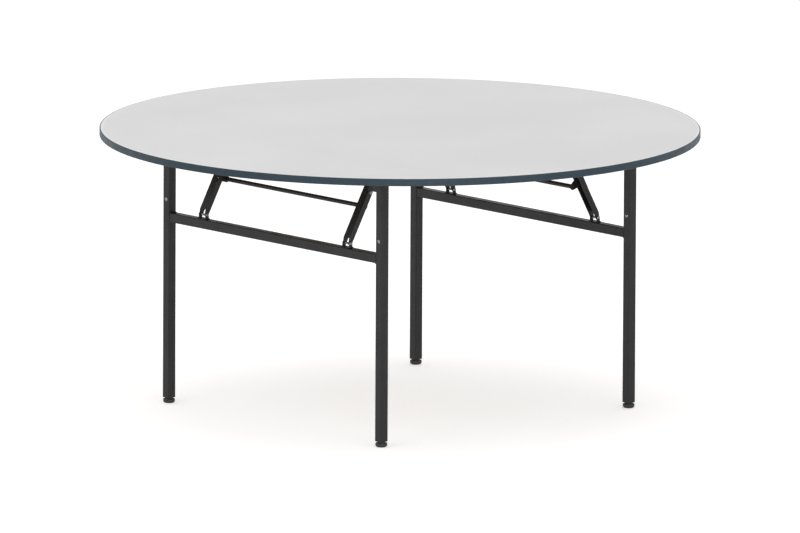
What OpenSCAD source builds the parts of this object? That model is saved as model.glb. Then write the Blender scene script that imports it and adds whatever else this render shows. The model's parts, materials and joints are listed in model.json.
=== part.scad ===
// Round folding banquet table: a laminated round top on two folding leg frames.
// Each frame swings on two hinges and is held open by a pair of over-centre knee braces.
// Millimetres, +Z up, the floor at z = 0 and the middle of the table at x = y = 0.
// Frame a stands on the -Y side and folds first, frame b stands on the +Y side and folds below it.

/* [Table top] */

// Diameter over the edge band
top_diameter = 1600; // [1200:50:1850]
// Height of the table surface above the floor
table_height = 750; // [700:5:790]
// Thickness of the whole top
top_thickness = 19.4; // [15:0.1:25]
// Thickness of the laminate on the upper face
laminate_thickness = 0.8; // [0.6:0.1:1.5]
// Thickness of the backing laminate on the underside
backing_thickness = 0.6; // [0.4:0.1:1.2]
// Thickness of the band around the edge
band_thickness = 2.5; // [2:0.5:4]
// Rounding of the band's outer corners
band_rounding = 1.5; // [0.5:0.25:2]

/* [Leg frames] */

// Distance between the two legs of a frame, centre to centre
leg_spacing = 850; // [650:10:950]
// Distance between the hinge lines of the two frames
hinge_spacing = 884; // [820:4:1000]
// Outside width of the square tube
tube_size = 25; // [22:1:30]
// Wall of the square tube
tube_wall = 1.5; // [1.2:0.1:2.5]
// Outside corner radius of the square tube
tube_corner = 2.5; // [2:0.25:4]
// Crossbar centre below the hinge pin
crossbar_drop = 209; // [190:1:240]
// Gap between the folded upper frame and the underside
stow_gap = 5.5; // [5:0.5:10]
// Gap between the two folded frames
layer_gap = 6; // [5:0.5:10]

/* [Feet] */

// Width of the round glide
glide_diameter = 32; // [28:1:36]
// Height of the round glide
glide_height = 12; // [10:1:18]
// Height of the neck between glide and tube
neck_height = 3; // [2:0.5:6]
// Length of the plug inside the tube
plug_length = 28; // [20:1:45]

/* [Hinges] */

// Diameter of the hinge pins
hinge_pin_diameter = 9; // [8:0.5:12]
// Sheet thickness of the brackets
bracket_sheet = 2; // [1.5:0.25:3]
// Reach of the leg bracket outside the leg's centre line
bracket_reach = 22; // [20:0.5:28]

/* [Knee braces] */

// Distance from a leg to its brace, centre to centre
brace_inset = 138; // [100:2:200]
// Clevis pin above the crossbar's upper face
clevis_rise = 11.5; // [11:0.5:16]
// Upper brace pin inward of the hinge line
brace_run = 96; // [88:2:104]
// Upper brace pin below the underside, on the frame that folds first
brace_pin_drop = 15; // [14:0.5:20]
// Outside width of the lower link
link_width = 24; // [20:1:30]
// Depth of the lower link
link_depth = 16; // [15:0.5:20]
// Sheet thickness of the links
link_sheet = 2; // [1.5:0.25:2.5]
// Diameter of the brace pins
brace_pin_diameter = 6; // [5:0.5:8]
// Diameter of the tie rod
tie_rod_diameter = 12; // [8:0.5:14]
// Knee past the dead centre
knee_offset = 6; // [4:0.5:8]

/* [Hidden] */

// Resolution of circles
$fn = 64;

// Clearances
running_clearance = 0.05;
side_clearance = 0.3;
link_clearance = 0.4;
insert_clearance = 0.2;
stop_clearance = 0.3;
cut_margin = 1;

// Heights
under_z = table_height - top_thickness;
foot_height = glide_height + neck_height;
half_tube = tube_size / 2;
drop_a = half_tube + stow_gap;
drop_b = drop_a + tube_size + layer_gap;

// Where the frames stand
leg_x = leg_spacing / 2;
hinge_y = hinge_spacing / 2;
brace_x = leg_x - brace_inset;

// Top
band_fit = 0.5;
core_diameter = top_diameter - 2 * (band_thickness + band_fit);
core_thickness = top_thickness - laminate_thickness - backing_thickness;

// Legs
leg_head_share = 0.48;
leg_head = tube_size * leg_head_share;
tube_inner = tube_size - 2 * tube_wall;
tube_inner_corner = tube_corner - tube_wall;
crossbar_length = leg_spacing - tube_size;
crossbar_top_z = half_tube - crossbar_drop;

// Feet
neck_inset = 3;
neck_diameter = tube_size - neck_inset;
glide_edge_share = 0.5;
glide_edge = glide_height * glide_edge_share;
glide_shoulder_share = 0.25;
glide_shoulder = glide_height * glide_shoulder_share;

// Leg rivets
leg_rivet_rise = 36;
leg_rivet_diameter = 6;
leg_rivet_head = 11;
leg_rivet_head_height = 2.6;

// Leg brackets
plate_gap = tube_size + 2 * side_clearance;
bracket_width = plate_gap + 2 * bracket_sheet;
bracket_inner_reach = 15;
flange_width = 16;
lip_below_pin_a = 28;
lip_below_pin_b = 17;
plate_neck = 7;
hinge_head_diameter = 15;
hinge_head_height = 3;

// Bracket screws
screw_diameter = 4;
screw_head_diameter = 8.5;
screw_head_height = 2.6;
screw_depth = 13;
screw_recess_width = 1.1;
screw_recess_length = 4.6;
screw_recess_depth = 1.3;
screw_edge = 7;

// Brace geometry in the plane of a brace: inward is the first value, up the second, the leg hinge is 0, 0
clevis_drop = crossbar_drop - half_tube - clevis_rise;
brace_pin_rise = drop_a - brace_pin_drop;
line_length = sqrt(brace_run * brace_run + (clevis_drop + brace_pin_rise) * (clevis_drop + brace_pin_rise));
line_angle = atan2(clevis_drop + brace_pin_rise, brace_run);
knee_share = 0.7;
knee_run = line_length * knee_share;
head_run = line_length - knee_run;
lower_length = sqrt(knee_run * knee_run + knee_offset * knee_offset);
lower_angle = line_angle - atan2(knee_offset, knee_run);
knee_bend = atan2(knee_offset, knee_run) + atan2(knee_offset, head_run);
upper_length = sqrt(head_run * head_run + knee_offset * knee_offset);
upper_pin_along = upper_length * cos(knee_bend);
upper_pin_across = upper_length * sin(knee_bend);
knee_in = lower_length * cos(lower_angle);
knee_up = lower_length * sin(lower_angle) - clevis_drop;

// Lower link
link_outer_share = 0.64;
link_out = link_depth * link_outer_share;
link_in = link_depth - link_out;
lower_end_radius = 6;
lower_web_start = 12;
lower_web_share = 0.69;
lower_web_end = lower_length * lower_web_share;
rod_share = 0.76;
rod_along = lower_length * rod_share;
rod_inward = 18;
rod_ear_radius = tie_rod_diameter / 2 + 3;
rod_ear_root = 12;

// Upper link
upper_width = link_width - 2 * link_sheet - 2 * link_clearance;
upper_sheet = link_sheet;
upper_knee_radius = 6.5;
upper_head_radius = 7;
tongue_lap = 10;
tongue_start = lower_web_end - tongue_lap - lower_length;
hood_start = lower_web_end + link_sheet - lower_length;
hood_in = link_out + stop_clearance;
upper_web_stop = 21;
upper_web_end = upper_pin_along - upper_web_stop;

// Brace bracket under the top
ear_span = upper_width - 2 * upper_sheet - 2 * side_clearance;
ear_radius = 8;
base_length = 38;
base_width = 50;

// Clevis on the crossbar
clevis_width = link_width + 2 * link_sheet + 2 * side_clearance;
clevis_ear_radius = 5.5;
clevis_base = 18;
brace_head_diameter = 11;
brace_head_height = 2.4;
knee_head_diameter = 11;

// Places

// The hinge line of a frame at z = 0, with +Y pointing inward under the table
module unit_a() translate([0, -hinge_y, under_z - drop_a]) children();

module unit_b() translate([0, hinge_y, under_z - drop_b]) rotate([0, 0, 180]) children();

// A plane profile drawn as inward, up becomes a plate across x, centred on x = 0
module across(width) rotate([90, 0, 90]) linear_extrude(width, center = true) children();

// The lower link's line at rest: x runs from clevis to knee, y to the outward side, origin at the knee
module brace_line() translate([0, -clevis_drop]) rotate(lower_angle) translate([lower_length, 0]) children();

// Shapes

module rounded_square(size, radius) {
    square([size, size - 2 * radius], center = true);
    square([size - 2 * radius, size], center = true);
    corner = size / 2 - radius;
    for (i = [-1, 1])
        for (j = [-1, 1])
            translate([i * corner, j * corner]) circle(radius);
}

module tube_profile() difference() {
    rounded_square(tube_size, tube_corner);
    rounded_square(tube_inner, tube_inner_corner);
}

// A dome on z = 0 that rises to the given height
module dome(diameter, height) {
    radius = diameter / 2;
    ball = (radius * radius + height * height) / (2 * height);
    rotate_extrude() intersection() {
        translate([0, height - ball]) circle(ball);
        square([radius, height]);
    }
}

// A pin along x with a domed head on both ends
module headed_pin(diameter, length, head, head_height) rotate([0, 90, 0]) {
    cylinder(d = diameter, h = length, center = true);
    for (s = [0, 180])
        rotate([s, 0, 0]) translate([0, 0, length / 2]) dome(head, head_height);
}

// A plain pin along x
module plain_pin(diameter, length) rotate([0, 90, 0]) cylinder(d = diameter, h = length, center = true);

// Places of the screws around a bracket, for a flange line at x and two rows along y
module screw_places(x, y_in, y_out)
    for (i = [-1, 1])
        for (y = [y_in, y_out])
            translate([i * x, y, 0]) children();

leg_screw_x = bracket_width / 2 + flange_width / 2;
leg_screw_in = bracket_inner_reach - screw_edge;
leg_screw_out = screw_edge - bracket_reach;
brace_screw_x = base_width / 2 - screw_edge;
brace_screw_y = base_length / 2 - screw_edge;

// All screw places of the table, seen at the underside
module leg_screw_places() {
    for (s = [0, 180])
        rotate([0, 0, s]) translate([0, -hinge_y, under_z])
            for (i = [-1, 1])
                translate([i * leg_x, 0, 0]) screw_places(leg_screw_x, leg_screw_in, leg_screw_out) children();
}

module brace_screw_places() {
    for (s = [0, 180])
        rotate([0, 0, s]) translate([0, brace_run - hinge_y, under_z])
            for (i = [-1, 1])
                translate([i * brace_x, 0, 0]) screw_places(brace_screw_x, brace_screw_y, -brace_screw_y) children();
}

module pilot_hole() translate([0, 0, -cut_margin]) cylinder(d = screw_diameter, h = screw_depth + cut_margin);

module screw() {
    shank = screw_diameter - 2 * running_clearance;
    seat = -bracket_sheet;
    translate([0, 0, seat]) cylinder(d = shank, h = bracket_sheet + screw_depth - cut_margin);
    difference() {
        translate([0, 0, seat]) rotate([180, 0, 0]) dome(screw_head_diameter, screw_head_height);
        for (s = [0, 90])
            rotate([0, 0, s]) translate([0, 0, seat - screw_head_height])
                cube([screw_recess_length, screw_recess_width, 2 * screw_recess_depth], center = true);
    }
}

// Top pieces

module top_board() color("BurlyWood") difference() {
    translate([0, 0, under_z + backing_thickness]) cylinder(d = core_diameter, h = core_thickness, $fn = 256);
    leg_screw_places() pilot_hole();
    brace_screw_places() pilot_hole();
}

module top_laminate() color("Gainsboro")
    translate([0, 0, table_height - laminate_thickness])
        cylinder(d = core_diameter, h = laminate_thickness, $fn = 256);

module backing_laminate() color("Tan") difference() {
    translate([0, 0, under_z]) cylinder(d = core_diameter, h = backing_thickness, $fn = 256);
    leg_screw_places() pilot_hole();
    brace_screw_places() pilot_hole();
}

module edge_band() color("SlateGray") translate([0, 0, under_z]) rotate_extrude($fn = 256) {
    inner = top_diameter / 2 - band_thickness;
    translate([inner, 0]) square([band_thickness - band_rounding, top_thickness]);
    translate([inner, band_rounding]) square([band_thickness, top_thickness - 2 * band_rounding]);
    for (h = [band_rounding, top_thickness - band_rounding])
        translate([inner + band_thickness - band_rounding, h]) circle(band_rounding);
}

// Leg bracket: two side plates, a back web with a stop lip, and two screw flanges
module leg_bracket(drop, lip) color("DimGray") {
    plate_x = (plate_gap + bracket_sheet) / 2;
    difference() {
        for (i = [-1, 1])
            translate([i * plate_x, 0, 0]) across(bracket_sheet)
                polygon([[-bracket_reach, drop], [bracket_inner_reach, drop], [bracket_inner_reach, -plate_neck],
                    [bracket_sheet - half_tube, -lip], [-bracket_reach, -lip]]);
        plain_pin(hinge_pin_diameter, 2 * bracket_width);
    }
    translate([-bracket_width / 2, -bracket_reach, -lip]) cube([bracket_width, bracket_sheet, lip + drop]);
    translate([-plate_gap / 2, bracket_sheet - bracket_reach, -lip])
        cube([plate_gap, bracket_reach - bracket_sheet - half_tube - stop_clearance, bracket_sheet]);
    difference() {
        for (i = [-1, 1])
            translate([i * (bracket_width + flange_width) / 2, 0, drop]) flange_plate();
        screw_places(leg_screw_x, leg_screw_in, leg_screw_out)
            translate([0, 0, drop - bracket_sheet - cut_margin])
                cylinder(d = screw_diameter, h = bracket_sheet + 2 * cut_margin);
    }
}

module flange_plate() translate([-flange_width / 2, -bracket_reach, -bracket_sheet])
    cube([flange_width, bracket_reach + bracket_inner_reach, bracket_sheet]);

module hinge_pins() color("Silver")
    for (i = [-1, 1])
        translate([i * leg_x, 0, 0])
            headed_pin(hinge_pin_diameter, bracket_width, hinge_head_diameter, hinge_head_height);

// Brace bracket: a base plate with two ears that carry the upper brace pin; y = 0 is the pin
module brace_bracket(drop) color("DimGray") {
    ear_x = (ear_span - bracket_sheet) / 2;
    half_base = base_length / 2;
    difference() {
        translate([-base_width / 2, -half_base, drop - bracket_sheet]) cube([base_width, base_length, bracket_sheet]);
        screw_places(brace_screw_x, brace_screw_y, -brace_screw_y)
            translate([0, 0, drop - bracket_sheet - cut_margin])
                cylinder(d = screw_diameter, h = bracket_sheet + 2 * cut_margin);
    }
    for (i = [-1, 1])
        translate([i * ear_x, 0, 0]) across(bracket_sheet) difference() {
            union() {
                circle(ear_radius);
                polygon([[-ear_radius, 0], [ear_radius, 0], [half_base, drop - bracket_sheet],
                    [-half_base, drop - bracket_sheet]]);
            }
            circle(d = brace_pin_diameter);
        }
}

module brace_pins() color("Silver")
    for (i = [-1, 1])
        translate([i * brace_x, brace_run, brace_pin_rise]) plain_pin(brace_pin_diameter, upper_width);

module leg_screws() color("Silver") leg_screw_places() screw();

module brace_screws() color("Silver") brace_screw_places() screw();

// Leg frame pieces

module leg(drop) color("DimGray") {
    foot = under_z - drop - foot_height;
    rivet_z = crossbar_drop - half_tube - leg_rivet_rise;
    difference() {
        translate([0, 0, -foot]) linear_extrude(foot + leg_head) tube_profile();
        plain_pin(hinge_pin_diameter + 2 * running_clearance, 2 * tube_size);
        translate([0, 0, -rivet_z]) rotate([90, 0, 0])
            cylinder(d = leg_rivet_diameter, h = 2 * tube_size, center = true);
    }
}

module leg_rivets() color("Silver")
    for (i = [-1, 1])
        translate([i * leg_x, 0, crossbar_top_z + leg_rivet_rise]) rotate([0, 0, 90])
            headed_pin(leg_rivet_diameter, tube_size, leg_rivet_head, leg_rivet_head_height);

module crossbar() color("DimGray")
    translate([0, 0, -crossbar_drop]) rotate([0, 90, 0])
        linear_extrude(crossbar_length, center = true) tube_profile();

// Foot: a round glide, a neck and a square plug in the tube
module foot(drop) color("Black") translate([0, 0, drop - under_z]) {
    side = glide_diameter / 2;
    rotate_extrude() {
        square([side - glide_edge, glide_height]);
        translate([0, glide_edge]) square([side, glide_height - glide_edge - glide_shoulder]);
        translate([0, glide_height - 2 * glide_shoulder]) square([side - glide_shoulder, 2 * glide_shoulder]);
        translate([side - glide_edge, glide_edge]) intersection() {
            circle(glide_edge);
            translate([0, -glide_edge]) square([glide_edge, glide_edge]);
        }
        translate([side - glide_shoulder, glide_height - glide_shoulder]) circle(glide_shoulder);
        square([neck_diameter / 2, foot_height]);
    }
    plug = tube_inner - 2 * insert_clearance;
    translate([0, 0, foot_height]) linear_extrude(plug_length) rounded_square(plug, tube_inner_corner);
}

// Clevis: a base on the crossbar and two ears outside the lower end of the brace
module clevis() color("DimGray") {
    ear_x = (clevis_width - link_sheet) / 2;
    translate([-clevis_width / 2, -clevis_base / 2, crossbar_top_z]) cube([clevis_width, clevis_base, link_sheet]);
    for (i = [-1, 1])
        translate([i * ear_x, 0, -clevis_drop]) across(link_sheet) difference() {
            union() {
                circle(clevis_ear_radius);
                translate([-clevis_ear_radius, -clevis_rise]) square([2 * clevis_ear_radius, clevis_rise]);
            }
            circle(d = brace_pin_diameter);
        }
}

module clevis_pins() color("Silver")
    for (i = [-1, 1])
        translate([i * brace_x, 0, -clevis_drop])
            headed_pin(brace_pin_diameter, clevis_width, brace_head_diameter, brace_head_height);

// Side plate of the lower link, drawn on the brace line
module lower_plate() difference() {
    union() {
        circle(lower_end_radius);
        translate([-lower_length, 0]) circle(lower_end_radius);
        polygon([[-lower_length, -lower_end_radius], [lower_web_start - lower_length, -link_in], [0, -link_in],
            [0, link_out], [lower_web_start - lower_length, link_out], [-lower_length, lower_end_radius]]);
    }
    circle(d = brace_pin_diameter);
    translate([-lower_length, 0]) circle(d = brace_pin_diameter + 2 * running_clearance);
}

// Ear for the tie rod on the side plate that faces the middle of the table
module rod_ear() difference() {
    translate([rod_along - lower_length, 0]) union() {
        translate([0, -rod_inward]) circle(rod_ear_radius);
        polygon([[-rod_ear_root, -link_in], [-rod_ear_radius, -rod_inward], [rod_ear_radius, -rod_inward],
            [rod_ear_root, -link_in]]);
    }
    translate([rod_along - lower_length, -rod_inward]) circle(d = tie_rod_diameter);
}

// Lower link: two side plates and an outer web; side is 1 or -1 for the link at plus or minus x
module lower_link(side) color("DimGray") translate([side * brace_x, 0, 0]) {
    plate_x = (link_width - link_sheet) / 2;
    for (i = [-1, 1])
        translate([i * plate_x, 0, 0]) across(link_sheet) brace_line() lower_plate();
    translate([-side * plate_x, 0, 0]) across(link_sheet) brace_line() rod_ear();
    across(link_width) brace_line()
        translate([lower_web_start - lower_length, link_out - link_sheet])
            square([lower_web_end - lower_web_start, link_sheet]);
}

module tie_rod() color("DimGray") {
    reach = brace_x - link_width / 2 + link_sheet;
    across(2 * reach) brace_line() translate([rod_along - lower_length, -rod_inward]) circle(d = tie_rod_diameter);
}

// Rivets in the knee end of the lower link: a stub in each side plate and a head outside
module knee_rivets() color("Silver")
    for (i = [-1, 1])
        for (j = [0, 180])
            translate([i * brace_x, knee_in, knee_up]) rotate([0, 0, j])
                translate([link_width / 2, 0, 0]) rotate([0, 90, 0]) {
                    dome(knee_head_diameter, brace_head_height);
                    translate([0, 0, -link_sheet]) cylinder(d = brace_pin_diameter, h = link_sheet);
                }

// Side plate of the upper link, drawn on the brace line; it carries the hood and the tongue at rest
module upper_plate() difference() {
    union() {
        circle(upper_knee_radius);
        translate([upper_pin_along, upper_pin_across]) circle(upper_head_radius);
        polygon([[hood_start, hood_in], [hood_start, hood_in + upper_sheet], [upper_web_end, hood_in + upper_sheet],
            [upper_pin_along, upper_pin_across + upper_head_radius],
            [upper_pin_along, upper_pin_across - upper_head_radius], [0, -upper_knee_radius],
            [-upper_knee_radius, 0]]);
    }
    circle(d = brace_pin_diameter);
    translate([upper_pin_along, upper_pin_across]) circle(d = brace_pin_diameter + 2 * running_clearance);
}

module upper_link(side) color("DimGray") translate([side * brace_x, 0, 0]) {
    plate_x = (upper_width - upper_sheet) / 2;
    for (i = [-1, 1])
        translate([i * plate_x, 0, 0]) across(upper_sheet) brace_line() upper_plate();
    across(upper_width) brace_line()
        translate([tongue_start, hood_in]) square([upper_web_end - tongue_start, upper_sheet]);
}

module knee_pins() color("Silver")
    for (i = [-1, 1])
        translate([i * brace_x, knee_in, knee_up]) plain_pin(brace_pin_diameter, upper_width);

// Nodes

module leg_bracket_a_left() unit_a() translate([-leg_x, 0, 0]) leg_bracket(drop_a, lip_below_pin_a);
module leg_bracket_a_right() unit_a() translate([leg_x, 0, 0]) leg_bracket(drop_a, lip_below_pin_a);
module leg_bracket_b_left() unit_b() translate([leg_x, 0, 0]) leg_bracket(drop_b, lip_below_pin_b);
module leg_bracket_b_right() unit_b() translate([-leg_x, 0, 0]) leg_bracket(drop_b, lip_below_pin_b);
module hinge_pins_a() unit_a() hinge_pins();
module hinge_pins_b() unit_b() hinge_pins();

module at_brace_pin(side) translate([side * brace_x, brace_run, brace_pin_rise]) children();

module brace_bracket_a_left() unit_a() at_brace_pin(-1) brace_bracket(drop_a - brace_pin_rise);
module brace_bracket_a_right() unit_a() at_brace_pin(1) brace_bracket(drop_a - brace_pin_rise);
module brace_bracket_b_left() unit_b() at_brace_pin(1) brace_bracket(drop_b - brace_pin_rise);
module brace_bracket_b_right() unit_b() at_brace_pin(-1) brace_bracket(drop_b - brace_pin_rise);
module brace_pins_a() unit_a() brace_pins();
module brace_pins_b() unit_b() brace_pins();

module leg_a_left() unit_a() translate([-leg_x, 0, 0]) leg(drop_a);
module leg_a_right() unit_a() translate([leg_x, 0, 0]) leg(drop_a);
module leg_b_left() unit_b() translate([leg_x, 0, 0]) leg(drop_b);
module leg_b_right() unit_b() translate([-leg_x, 0, 0]) leg(drop_b);
module crossbar_a() unit_a() crossbar();
module crossbar_b() unit_b() crossbar();
module foot_a_left() unit_a() translate([-leg_x, 0, 0]) foot(drop_a);
module foot_a_right() unit_a() translate([leg_x, 0, 0]) foot(drop_a);
module foot_b_left() unit_b() translate([leg_x, 0, 0]) foot(drop_b);
module foot_b_right() unit_b() translate([-leg_x, 0, 0]) foot(drop_b);
module leg_rivets_a() unit_a() leg_rivets();
module leg_rivets_b() unit_b() leg_rivets();
module clevis_a_left() unit_a() translate([-brace_x, 0, 0]) clevis();
module clevis_a_right() unit_a() translate([brace_x, 0, 0]) clevis();
module clevis_b_left() unit_b() translate([brace_x, 0, 0]) clevis();
module clevis_b_right() unit_b() translate([-brace_x, 0, 0]) clevis();
module clevis_pins_a() unit_a() clevis_pins();
module clevis_pins_b() unit_b() clevis_pins();

module lower_link_a_left() unit_a() lower_link(-1);
module lower_link_a_right() unit_a() lower_link(1);
module lower_link_b_left() unit_b() lower_link(1);
module lower_link_b_right() unit_b() lower_link(-1);
module tie_rod_a() unit_a() tie_rod();
module tie_rod_b() unit_b() tie_rod();
module knee_rivets_a() unit_a() knee_rivets();
module knee_rivets_b() unit_b() knee_rivets();

module upper_link_a_left() unit_a() upper_link(-1);
module upper_link_a_right() unit_a() upper_link(1);
module upper_link_b_left() unit_b() upper_link(1);
module upper_link_b_right() unit_b() upper_link(-1);
module knee_pins_a() unit_a() knee_pins();
module knee_pins_b() unit_b() knee_pins();

top_board();
top_laminate();
backing_laminate();
edge_band();
leg_screws();
brace_screws();
leg_bracket_a_left();
leg_bracket_a_right();
leg_bracket_b_left();
leg_bracket_b_right();
hinge_pins_a();
hinge_pins_b();
brace_bracket_a_left();
brace_bracket_a_right();
brace_bracket_b_left();
brace_bracket_b_right();
brace_pins_a();
brace_pins_b();
leg_a_left();
leg_a_right();
leg_b_left();
leg_b_right();
crossbar_a();
crossbar_b();
foot_a_left();
foot_a_right();
foot_b_left();
foot_b_right();
leg_rivets_a();
leg_rivets_b();
clevis_a_left();
clevis_a_right();
clevis_b_left();
clevis_b_right();
clevis_pins_a();
clevis_pins_b();
lower_link_a_left();
lower_link_a_right();
lower_link_b_left();
lower_link_b_right();
tie_rod_a();
tie_rod_b();
knee_rivets_a();
knee_rivets_b();
upper_link_a_left();
upper_link_a_right();
upper_link_b_left();
upper_link_b_right();
knee_pins_a();
knee_pins_b();
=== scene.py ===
import json
import math

import bmesh
import bpy
from mathutils import Euler, Matrix, Vector


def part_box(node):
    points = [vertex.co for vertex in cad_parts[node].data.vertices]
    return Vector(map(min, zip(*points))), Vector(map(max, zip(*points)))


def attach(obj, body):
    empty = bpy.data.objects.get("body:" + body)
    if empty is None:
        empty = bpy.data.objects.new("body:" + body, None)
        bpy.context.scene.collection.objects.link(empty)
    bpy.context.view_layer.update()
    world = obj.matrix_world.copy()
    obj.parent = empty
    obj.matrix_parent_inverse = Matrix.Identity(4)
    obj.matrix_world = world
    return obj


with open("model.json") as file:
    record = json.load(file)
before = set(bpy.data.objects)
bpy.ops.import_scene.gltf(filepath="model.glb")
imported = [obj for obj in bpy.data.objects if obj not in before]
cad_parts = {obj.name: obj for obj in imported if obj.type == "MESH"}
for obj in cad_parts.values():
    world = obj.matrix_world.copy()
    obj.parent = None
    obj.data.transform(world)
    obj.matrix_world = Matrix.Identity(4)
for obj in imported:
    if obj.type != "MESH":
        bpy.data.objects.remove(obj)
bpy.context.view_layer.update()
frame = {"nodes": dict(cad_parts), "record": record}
nodes = frame["nodes"]

# Lengths are in metres, in the frame of the CAD model. Colours are linear.


# Materials

class Look:
    """A procedural material: one Principled shader, fed by nodes in object coordinates."""

    def __init__(self, name, ior=None, metallic=0.0):
        self.material = bpy.data.materials.new(name)
        self.material.use_nodes = True
        self.tree = self.material.node_tree
        self.tree.nodes.clear()
        out = self.tree.nodes.new("ShaderNodeOutputMaterial")
        self.shader = self.tree.nodes.new("ShaderNodeBsdfPrincipled")
        self.link(self.shader.outputs[0], out.inputs["Surface"])
        self.shader.inputs["Metallic"].default_value = metallic
        if ior is not None:
            self.shader.inputs["IOR"].default_value = ior
        self.at = self.coords()
        self.last_bump = None

    def link(self, source, target):
        self.tree.links.new(source, target)

    def coords(self, stretch=(1, 1, 1)):
        """Object coordinates, stretched along the axes."""
        place = self.tree.nodes.new("ShaderNodeTexCoord")
        mapping = self.tree.nodes.new("ShaderNodeMapping")
        mapping.inputs["Scale"].default_value = stretch
        self.link(place.outputs["Object"], mapping.inputs["Vector"])
        return mapping.outputs["Vector"]

    def noise(self, scale, detail=4.0, rough=0.5, at=None):
        node = self.tree.nodes.new("ShaderNodeTexNoise")
        node.inputs["Scale"].default_value = scale
        node.inputs["Detail"].default_value = detail
        node.inputs["Roughness"].default_value = rough
        self.link(at or self.at, node.inputs["Vector"])
        return node.outputs["Fac"]

    def ramp(self, fac, stops):
        """A colour ramp through (position, rgb) stops."""
        node = self.tree.nodes.new("ShaderNodeValToRGB")
        points = node.color_ramp.elements
        for point, (position, colour) in zip(points, (stops[0], stops[-1])):
            point.position, point.color = position, (*colour, 1)
        for position, colour in stops[1:-1]:
            points.new(position).color = (*colour, 1)
        self.link(fac, node.inputs["Fac"])
        return node.outputs["Color"]

    def mottled(self, fac, base, spread, low=0.35, high=0.65):
        """A colour that runs with fac from a little darker to a little lighter than base."""
        dark = tuple(c * (1 - spread) for c in base)
        light = tuple(min(1, c * (1 + spread)) for c in base)
        return self.ramp(fac, [(low, dark), (high, light)])

    def span(self, fac, low, high, out_low, out_high):
        """Maps fac from low..high to out_low..out_high, clamped."""
        node = self.tree.nodes.new("ShaderNodeMapRange")
        limits = (("From Min", low), ("From Max", high), ("To Min", out_low), ("To Max", out_high))
        for key, value in limits:
            node.inputs[key].default_value = value
        self.link(fac, node.inputs["Value"])
        return node.outputs["Result"]

    def mix(self, fac, a, b, mode="MIX"):
        """Mixes colours a and b; fac, a and b are sockets or values."""
        factor_socket, a_socket, b_socket, colour_output = 0, 6, 7, 2
        node = self.tree.nodes.new("ShaderNodeMix")
        node.data_type, node.blend_type = "RGBA", mode
        for key, value in ((factor_socket, fac), (a_socket, a), (b_socket, b)):
            if isinstance(value, bpy.types.NodeSocket):
                self.link(value, node.inputs[key])
            else:
                node.inputs[key].default_value = value if key == factor_socket else (*value, 1)
        return node.outputs[colour_output]

    def paint(self, colour):
        self.link(colour, self.shader.inputs["Base Color"])

    def roughen(self, fac, smooth, coarse):
        """Roughness that runs with fac from smooth to coarse."""
        self.link(self.span(fac, 0.3, 0.7, smooth, coarse), self.shader.inputs["Roughness"])

    def bump(self, height, strength, distance):
        """Bumps the surface by height, on top of the bump made before."""
        node = self.tree.nodes.new("ShaderNodeBump")
        node.inputs["Strength"].default_value = strength
        node.inputs["Distance"].default_value = distance
        self.link(height, node.inputs["Height"])
        if self.last_bump is not None:
            self.link(self.last_bump, node.inputs["Normal"])
        self.last_bump = node.outputs["Normal"]
        self.link(self.last_bump, self.shader.inputs["Normal"])


def laminate():
    """Pale grey laminate: clouds, fine specks and a painted highlight, a paler ring just inside the
    rim.
    """
    look = Look("laminate", ior=1.45)
    clouds = look.ramp(look.noise(2.2, 3), [(0.35, (0.655, 0.655, 0.662)), (0.65, (0.70, 0.70, 0.706))])
    grain = look.span(look.noise(1400, 2), 0.42, 0.58, 0.0, 1.0)
    specks = look.ramp(grain, [(0.0, (0.95, 0.95, 0.95)), (1.0, (1.0, 1.0, 1.0))])
    from_middle = look.tree.nodes.new("ShaderNodeVectorMath")
    from_middle.operation = "LENGTH"
    look.link(look.coords((1, 1, 0)), from_middle.inputs[0])
    # Painted highlight: a paler, slightly bluish ring just inside the rim stands in for the light line
    # along the edge of the top.
    edge = look.span(from_middle.outputs["Value"], 0.789, 0.7955, 0.0, 1.0)
    look.paint(look.mix(edge, look.mix(1.0, clouds, specks, "MULTIPLY"), (0.75, 0.76, 0.775)))
    look.roughen(look.noise(9, 5), 0.42, 0.5)
    look.bump(look.noise(900, 2), 0.05, 0.0002)
    return look.material


def powder_coat(name, base, wear):
    """Satin powder coat: fine orange peel, faint dust and lighter rubbed patches."""
    look = Look(name, ior=1.36)
    dust = look.span(look.noise(260, 3), 0.6, 0.72, 0.0, wear)
    look.paint(look.mix(dust, look.mottled(look.noise(14, 6), base, 0.16), (0.12, 0.12, 0.125)))
    look.roughen(look.noise(30), 0.38, 0.52)
    look.bump(look.noise(520, 2), 0.18, 0.0004)
    look.bump(look.noise(2600, 1), 0.08, 0.0001)
    return look.material


def edge_plastic():
    """Dark slate band with faint streaks along the rim."""
    look = Look("edge", ior=1.33)
    streaks = look.noise(26, 5, at=look.coords((1, 1, 14)))
    look.paint(look.mottled(streaks, (0.026, 0.0455, 0.060), 0.12, 0.3, 0.7))
    look.roughen(look.noise(60), 0.42, 0.55)
    look.bump(look.noise(1100, 2), 0.12, 0.0002)
    return look.material


def backing():
    """Brown backing sheet with a faint cloudy print and fine fibres."""
    look = Look("backing", ior=1.42)
    fibre = look.noise(90, 6, 0.6, at=look.coords((1, 9, 1)))
    cloud = look.ramp(look.noise(3, 3), [(0.3, (0.86, 0.86, 0.86)), (0.7, (1.0, 1.0, 1.0))])
    brown = look.mottled(fibre, (0.33, 0.222, 0.139), 0.22, 0.3, 0.7)
    look.paint(look.mix(1.0, brown, cloud, "MULTIPLY"))
    look.roughen(fibre, 0.55, 0.72)
    look.bump(fibre, 0.15, 0.0002)
    return look.material


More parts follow.
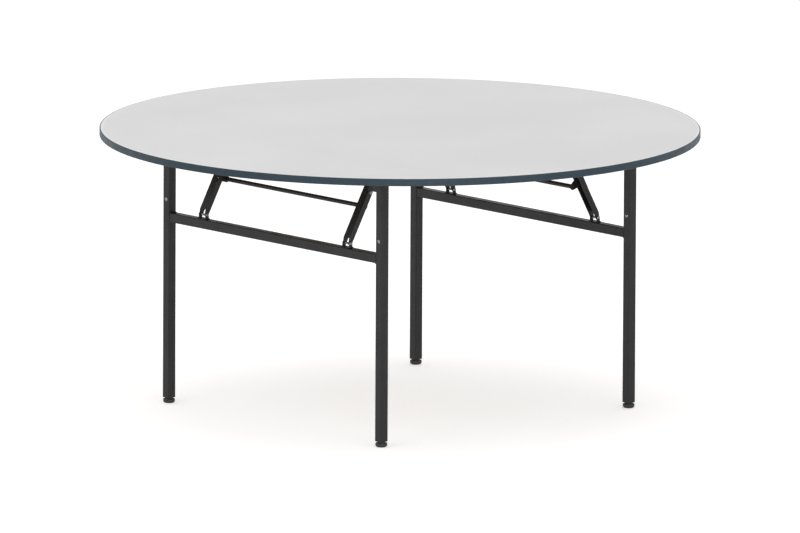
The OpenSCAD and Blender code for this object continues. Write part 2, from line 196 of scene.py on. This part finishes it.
def chipboard():
    """Raw board: pressed chips in three browns."""
    look = Look("core")
    chips = look.tree.nodes.new("ShaderNodeTexVoronoi")
    chips.inputs["Scale"].default_value = 320
    look.link(look.at, chips.inputs["Vector"])
    distance = chips.outputs["Distance"]
    look.paint(look.ramp(distance, [(0.0, (0.50, 0.36, 0.21)), (0.5, (0.62, 0.46, 0.29)),
                                    (1.0, (0.36, 0.24, 0.13))]))
    look.roughen(look.noise(200), 0.7, 0.85)
    look.bump(distance, 0.3, 0.0004)
    return look.material


def moulded_plastic():
    """Black moulded plastic with a little grime from the floor."""
    look = Look("feet", ior=1.46)
    grime = look.span(look.noise(120), 0.55, 0.75, 0.0, 0.35)
    black = look.mottled(look.noise(40, 5), (0.016, 0.016, 0.017), 0.15)
    look.paint(look.mix(grime, black, (0.07, 0.066, 0.06)))
    look.roughen(look.noise(80), 0.34, 0.5)
    look.bump(look.noise(1500, 2), 0.15, 0.0002)
    return look.material


def zinc():
    """Zinc-plated screws."""
    look = Look("screws", metallic=1.0)
    look.paint(look.mottled(look.noise(400, 5), (0.46, 0.46, 0.47), 0.15))
    look.roughen(look.noise(700, 3), 0.3, 0.45)
    look.bump(look.noise(2500, 2), 0.1, 0.0001)
    return look.material


def dark_steel():
    """Blackened steel of pins and rivet heads, rubbed brighter in patches."""
    look = Look("pins", metallic=1.0)
    rub = look.span(look.noise(320, 3), 0.46, 0.60, 0.0, 0.7)
    black = look.mottled(look.noise(180), (0.17, 0.17, 0.173), 0.2)
    look.paint(look.mix(rub, black, (0.50, 0.50, 0.505)))
    look.roughen(look.noise(500, 3), 0.3, 0.48)
    look.bump(look.noise(1800, 2), 0.12, 0.0001)
    return look.material


LOOKS = {
    "laminate": laminate(),
    "core": chipboard(),
    "backing": backing(),
    "edge": edge_plastic(),
    "frame": powder_coat("frame", (0.0135, 0.0135, 0.014), 0.12),
    "brackets": powder_coat("brackets", (0.014, 0.014, 0.0145), 0.2),
    "pins": dark_steel(),
    "screws": zinc(),
    "feet": moulded_plastic(),
}

for sub in frame["record"]["subparts"]:
    data = nodes[sub["node"]].data
    data.materials.clear()
    data.materials.append(LOOKS[sub["material_slot"]])


# Weld beads where the frames are joined

TUBE = 0.025
LEG_X = 0.425
BEAD_SINK = 0.0004
BAR_BEAD = 0.0016
CLEVIS_BEAD = 0.0012
SKIN_VOXEL = 0.0005


def fused(drops):
    """One closed skin around overlapping drops."""
    carrier = bpy.data.objects.new("drops", drops)
    bpy.context.scene.collection.objects.link(carrier)
    remesh = carrier.modifiers.new("fuse", "REMESH")
    remesh.mode, remesh.voxel_size = "VOXEL", SKIN_VOXEL
    skin = bpy.data.meshes.new_from_object(carrier.evaluated_get(bpy.context.evaluated_depsgraph_get()))
    bpy.data.objects.remove(carrier)
    bpy.data.meshes.remove(drops)
    return skin


def weld(name, points, normal, body, radius=BAR_BEAD, closed=False):
    """A ripple bead along points: a row of drops of uneven size that lean on each other."""
    drop_overlap, size_wobble, place_wobble = 0.85, 0.16, 0.0001
    mesh = bmesh.new()
    pts = [Vector(p) for p in points]
    if closed:
        pts.append(pts[0])
    step = radius * drop_overlap
    count = 0
    for a, b in zip(pts, pts[1:]):
        run = b - a
        n = max(1, round(run.length / step))
        for i in range(n):
            count += 1
            size = radius * (1 + size_wobble * math.sin(count * 2.4))
            drop = bmesh.ops.create_uvsphere(mesh, u_segments=8, v_segments=6, radius=size)
            place = a + run * (i / n) + Vector(normal) * place_wobble * math.sin(count * 1.7)
            bmesh.ops.translate(mesh, verts=drop["verts"], vec=place)
    drops = bpy.data.meshes.new("drops")
    mesh.to_mesh(drops)
    mesh.free()
    data = fused(drops)
    data.name = name
    data.polygons.foreach_set("use_smooth", [True] * len(data.polygons))
    obj = bpy.data.objects.new(name, data)
    bpy.context.scene.collection.objects.link(obj)
    data.materials.append(LOOKS["frame"])
    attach(obj, body)


def bar_welds(f):
    """A bead round each end of the crossbar and along both sides of each clevis base."""
    body = "frame_" + f
    lo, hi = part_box("crossbar_" + f)
    y, z = (lo[1] + hi[1]) / 2, (lo[2] + hi[2]) / 2
    half = TUBE / 2 - BEAD_SINK
    corners = [(-half, half), (half, half), (half, -half), (-half, -half)]
    for side, tag in ((-1, "left"), (1, "right")):
        x = side * (LEG_X - TUBE / 2)
        weld("weld_bar_%s_%s" % (f, tag), [(x, y + p, z + q) for p, q in corners], (side, 0, 0), body,
             closed=True)
        lo_c, hi_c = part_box("clevis_%s_%s" % (f, tag))
        for k, yc in enumerate((lo_c[1], hi_c[1])):
            weld("weld_clevis_%s_%s_%d" % (f, tag, k), [(lo_c[0], yc, lo_c[2]), (hi_c[0], yc, lo_c[2])],
                 (0, 0, 1), body, radius=CLEVIS_BEAD)


for f in "ab":
    bar_welds(f)


# Floor and surroundings: the camera and reflections see white, and a faint shadow stays on the floor

FLOOR_SIZE, FLOOR_BELOW = 120, 0.0005
FLOOR_GLOW, FLOOR_GREY = 0.5, 0.80
ROOM_STRENGTH = 0.62


def background_ray(tree):
    """1 for the rays that see the background, which are those of the camera and of reflections."""
    path = tree.nodes.new("ShaderNodeLightPath")
    either = tree.nodes.new("ShaderNodeMath")
    either.operation = "MAXIMUM"
    tree.links.new(path.outputs["Is Camera Ray"], either.inputs[0])
    tree.links.new(path.outputs["Is Glossy Ray"], either.inputs[1])
    return either.outputs[0]


def make_floor():
    half = FLOOR_SIZE / 2
    corners = [(-half, -half), (half, -half), (half, half), (-half, half)]
    mesh = bpy.data.meshes.new("floor")
    mesh.from_pydata([(x, y, -FLOOR_BELOW) for x, y in corners], [], [(0, 1, 2, 3)])
    obj = bpy.data.objects.new("floor", mesh)
    bpy.context.scene.collection.objects.link(obj)
    mat = bpy.data.materials.new("floor")
    mat.use_nodes = True
    make, link = mat.node_tree.nodes, mat.node_tree.links.new
    make.clear()
    out = make.new("ShaderNodeOutputMaterial")
    lift = make.new("ShaderNodeMath")
    lift.operation = "MULTIPLY"
    lift.inputs[1].default_value = FLOOR_GLOW
    link(background_ray(mat.node_tree), lift.inputs[0])
    glow = make.new("ShaderNodeEmission")
    link(lift.outputs[0], glow.inputs["Strength"])
    matt = make.new("ShaderNodeBsdfDiffuse")
    matt.inputs["Color"].default_value = (FLOOR_GREY, FLOOR_GREY, FLOOR_GREY, 1)
    both = make.new("ShaderNodeAddShader")
    link(glow.outputs[0], both.inputs[0])
    link(matt.outputs[0], both.inputs[1])
    link(both.outputs[0], out.inputs["Surface"])
    mesh.materials.append(mat)


def make_room():
    world = bpy.data.worlds.new("studio")
    bpy.context.scene.world = world
    world.use_nodes = True
    make, link = world.node_tree.nodes, world.node_tree.links.new
    make.clear()
    out = make.new("ShaderNodeOutputWorld")
    seen = make.new("ShaderNodeBackground")
    seen.inputs["Color"].default_value = (1, 1, 1, 1)
    lit = make.new("ShaderNodeBackground")
    lit.inputs["Color"].default_value = (1, 1, 1, 1)
    lit.inputs["Strength"].default_value = ROOM_STRENGTH
    choose = make.new("ShaderNodeMixShader")
    link(background_ray(world.node_tree), choose.inputs[0])
    link(lit.outputs[0], choose.inputs[1])
    link(seen.outputs[0], choose.inputs[2])
    link(choose.outputs[0], out.inputs["Surface"])


make_floor()
make_room()


# Lamps: name, place, the point that the lamp faces, width and power in watts

LAMPS = (
    ("key", (0.5, -5.5, 4.5), (0, 0, 0.5), 4.0, 70),
    ("side", (5.5, -0.5, 2.6), (0, 0, 0.5), 3.5, 45),
    ("top", (-1.0, 1.0, 5.5), (0, 0, 0.75), 5.0, 72),
    ("low", (4.4, -2.8, 0.6), (0, 0, 0.6), 2.0, 46),
    ("left", (-5.5, -2.5, 1.2), (0, 0, 0.5), 3.0, 12),
)

for name, place, target, width, power in LAMPS:
    light = bpy.data.lights.new(name, "AREA")
    light.energy, light.size = power, width
    lamp = bpy.data.objects.new(name, light)
    lamp.location = place
    lamp.rotation_euler = (Vector(target) - Vector(place)).to_track_quat("-Z", "Y").to_euler()
    bpy.context.scene.collection.objects.link(lamp)


# The camera, fitted to the photograph: far away, a little above the table and nearly level.
# ELEVATION and TURN place it around the middle of the top, PITCH looks down, ROLL tilts the picture.

DISTANCE = 60.0
ELEVATION, PITCH, ROLL, TURN = (math.radians(v) for v in (9.7103, 10.0628, 0.2783, 48.13))
FOCAL_PIXELS, SIDE_PIXELS = 22549.0, -0.62
PICTURE_WIDTH = 800
SENSOR_WIDTH = 36.0
TOP_HEIGHT = 0.75

cam_data = bpy.data.cameras.new("camera")
cam_data.sensor_width = SENSOR_WIDTH
cam_data.lens = SENSOR_WIDTH * FOCAL_PIXELS / PICTURE_WIDTH
cam_data.clip_start, cam_data.clip_end = 0.5, 200
cam = bpy.data.objects.new("camera", cam_data)
bpy.context.scene.collection.objects.link(cam)
bpy.context.scene.camera = cam
along_floor = DISTANCE * math.cos(ELEVATION)
cam.location = (along_floor * math.sin(TURN), -along_floor * math.cos(TURN),
                TOP_HEIGHT + DISTANCE * math.sin(ELEVATION))
heading = Euler((math.radians(90) - PITCH, 0, TURN + SIDE_PIXELS / FOCAL_PIXELS)).to_matrix()
cam.rotation_euler = (heading @ Matrix.Rotation(ROLL, 3, "Z")).to_euler()

bpy.context.scene.view_settings.view_transform = "Standard"
